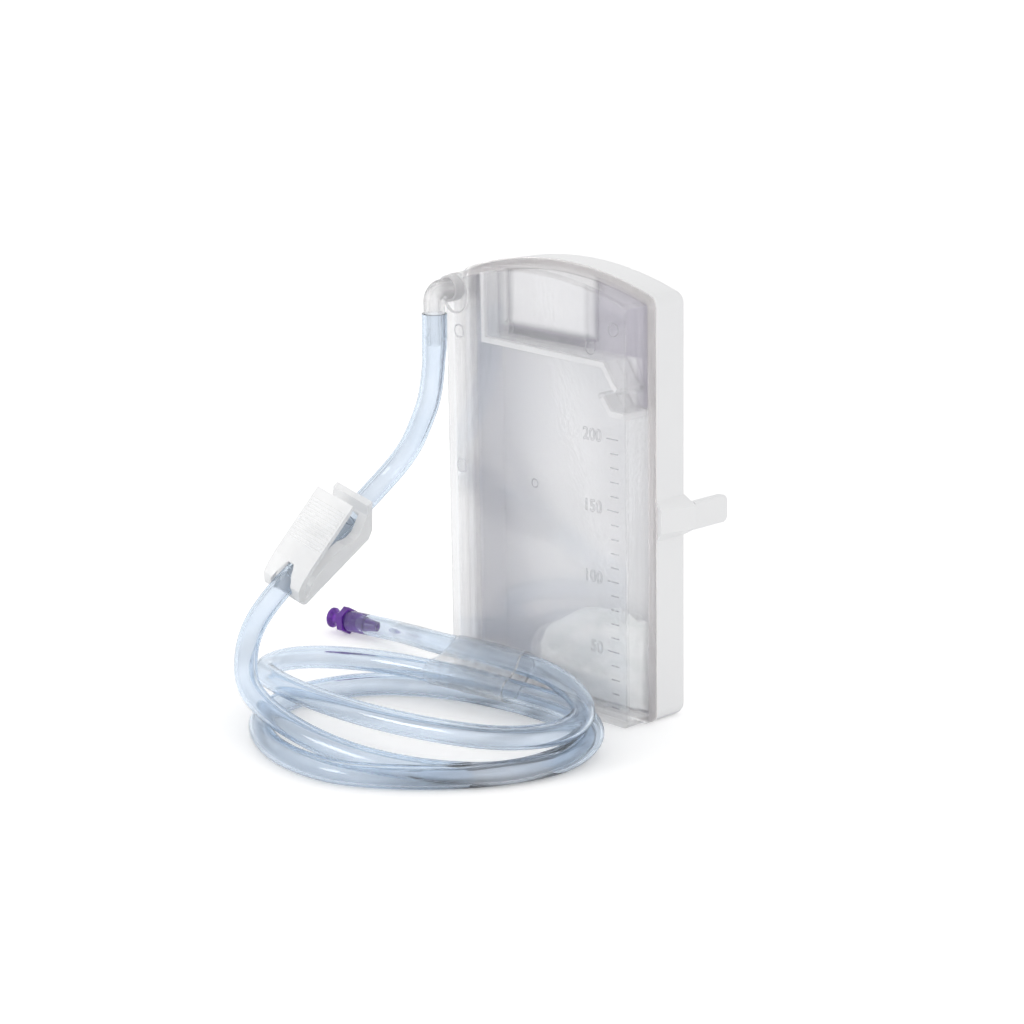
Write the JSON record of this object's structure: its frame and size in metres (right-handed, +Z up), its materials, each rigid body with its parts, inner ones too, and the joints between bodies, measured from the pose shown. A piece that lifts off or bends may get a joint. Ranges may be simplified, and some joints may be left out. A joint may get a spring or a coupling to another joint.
{
  "type": "suction canister",
  "caption": "Slim clear-and-white suction canister with elbow inlet, side latches, air filter, gel sachet and a coiled tube with pinch clamp and luer connector.",
  "frame": {"origin": "centre of the canister's footprint, on the surface that it stands on", "axes": "+X to the right along the clear front, +Y from the clear front to the white back, +Z up"},
  "size_m": [0.1837, 0.1536, 0.1584],
  "materials": {
    "clear_shell": "clear, lightly frosted",
    "white_shell": "satin",
    "gasket": "matt",
    "carrier": "matt",
    "membrane": "matt",
    "seal": "matt",
    "sachet": "matt",
    "elbow": "translucent",
    "tube": "clear",
    "film": "clear",
    "clamp": "satin",
    "luer": "translucent"
  },
  "bodies": {
    "base": {"front_shell": "clear_shell", "rear_shell": "white_shell", "seam_gasket": "gasket", "filter_carrier": "carrier", "filter_membrane": "membrane", "outlet_seal": "seal", "gel_sachet": "sachet", "inlet_elbow": "elbow", "tube_drop": "tube", "tube_pinch": "tube", "tube_lead": "tube", "tube_coil": "tube", "tube_tail": "tube", "coil_band": "film", "clamp_body": "clamp", "luer_connector": "luer"},
    "right_latch": {"latch_right": "white_shell"},
    "left_latch": {"latch_left": "white_shell"},
    "thumb_leaf": {"clamp_leaf": "clamp"}
  },
  "joints": [
    {"name": "right_latch_flex", "type": "hinge", "parent": "base", "child": "right_latch", "pos_m": [0.04741, 0.0034, 0.0729], "axis": [0, 0, 1], "range_deg": [0, 5], "stiffness_Nm_per_rad": 0.05},
    {"name": "left_latch_flex", "type": "hinge", "parent": "base", "child": "left_latch", "pos_m": [-0.04741, 0.0034, 0.0729], "axis": [0, 0, -1], "range_deg": [0, 5], "stiffness_Nm_per_rad": 0.05},
    {"name": "clamp_close", "type": "hinge", "parent": "base", "child": "thumb_leaf", "pos_m": [-0.0656, -0.07508, 0.04206], "axis": [-0.919, -0.2108, 0.3331], "range_deg": [0, 17], "deforming": ["tube_pinch"]}
  ]
}
